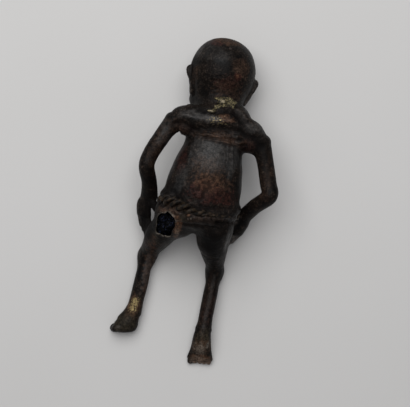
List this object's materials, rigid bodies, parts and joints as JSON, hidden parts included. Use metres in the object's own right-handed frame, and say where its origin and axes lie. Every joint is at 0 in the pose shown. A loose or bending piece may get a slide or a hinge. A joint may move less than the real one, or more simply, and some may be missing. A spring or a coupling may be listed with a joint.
{
  "type": "seated female figure",
  "caption": "Small hollow cast copper-alloy figure of a seated woman, hands on thighs, twisted waist cord, broken open at the left buttock, lying face down.",
  "frame": {"origin": "middle of the figure's outline seen from above, at the height of the surface it lies on", "axes": "+Y along the torso toward the crown, +Z the figure's back (up as it lies face down), +X the figure's right side"},
  "size_m": [0.0756, 0.1816, 0.0517],
  "materials": {
    "head": "dark brown-black patina, satin",
    "torso_shell": "dark brown-black patina, satin",
    "hip_shell": "dark patina with earthy residue",
    "clay_core": "burnt clay core, dark and granular",
    "left_ear": "olive-grey patina",
    "right_ear": "olive-grey patina",
    "left_breast": "dark brown-black patina, satin",
    "right_breast": "dark brown-black patina, satin",
    "shoulder_yoke": "dark patina worn to brown",
    "waist_cord_strand_a": "dark patina with earthy residue",
    "waist_cord_strand_b": "dark patina with earthy residue",
    "nape_mend": "rough bright mend metal",
    "left_leg": "dark patina worn to brown",
    "left_arm": "dark brown-black patina, satin",
    "left_foot": "olive-grey patina",
    "left_hand": "dark brown-black patina, satin",
    "right_leg": "dark patina worn to brown",
    "right_arm": "dark brown-black patina, satin",
    "right_foot": "olive-grey patina",
    "right_hand": "dark brown-black patina, satin",
    "core_pin_back": "rusted iron, cut flush",
    "core_pin_chest": "rusted iron, cut flush",
    "core_pin_belly": "rusted iron, cut flush",
    "core_pin_crown": "rusted iron, cut flush"
  },
  "bodies": {
    "root": {"head": "head", "torso_shell": "torso_shell", "hip_shell": "hip_shell", "clay_core": "clay_core", "left_ear": "left_ear", "right_ear": "right_ear", "left_breast": "left_breast", "right_breast": "right_breast", "shoulder_yoke": "shoulder_yoke", "waist_cord_strand_a": "waist_cord_strand_a", "waist_cord_strand_b": "waist_cord_strand_b", "nape_mend": "nape_mend", "left_leg": "left_leg", "left_arm": "left_arm", "left_foot": "left_foot", "left_hand": "left_hand", "right_leg": "right_leg", "right_arm": "right_arm", "right_foot": "right_foot", "right_hand": "right_hand", "core_pin_back": "core_pin_back", "core_pin_chest": "core_pin_chest", "core_pin_belly": "core_pin_belly", "core_pin_crown": "core_pin_crown"}
  },
  "joints": []
}
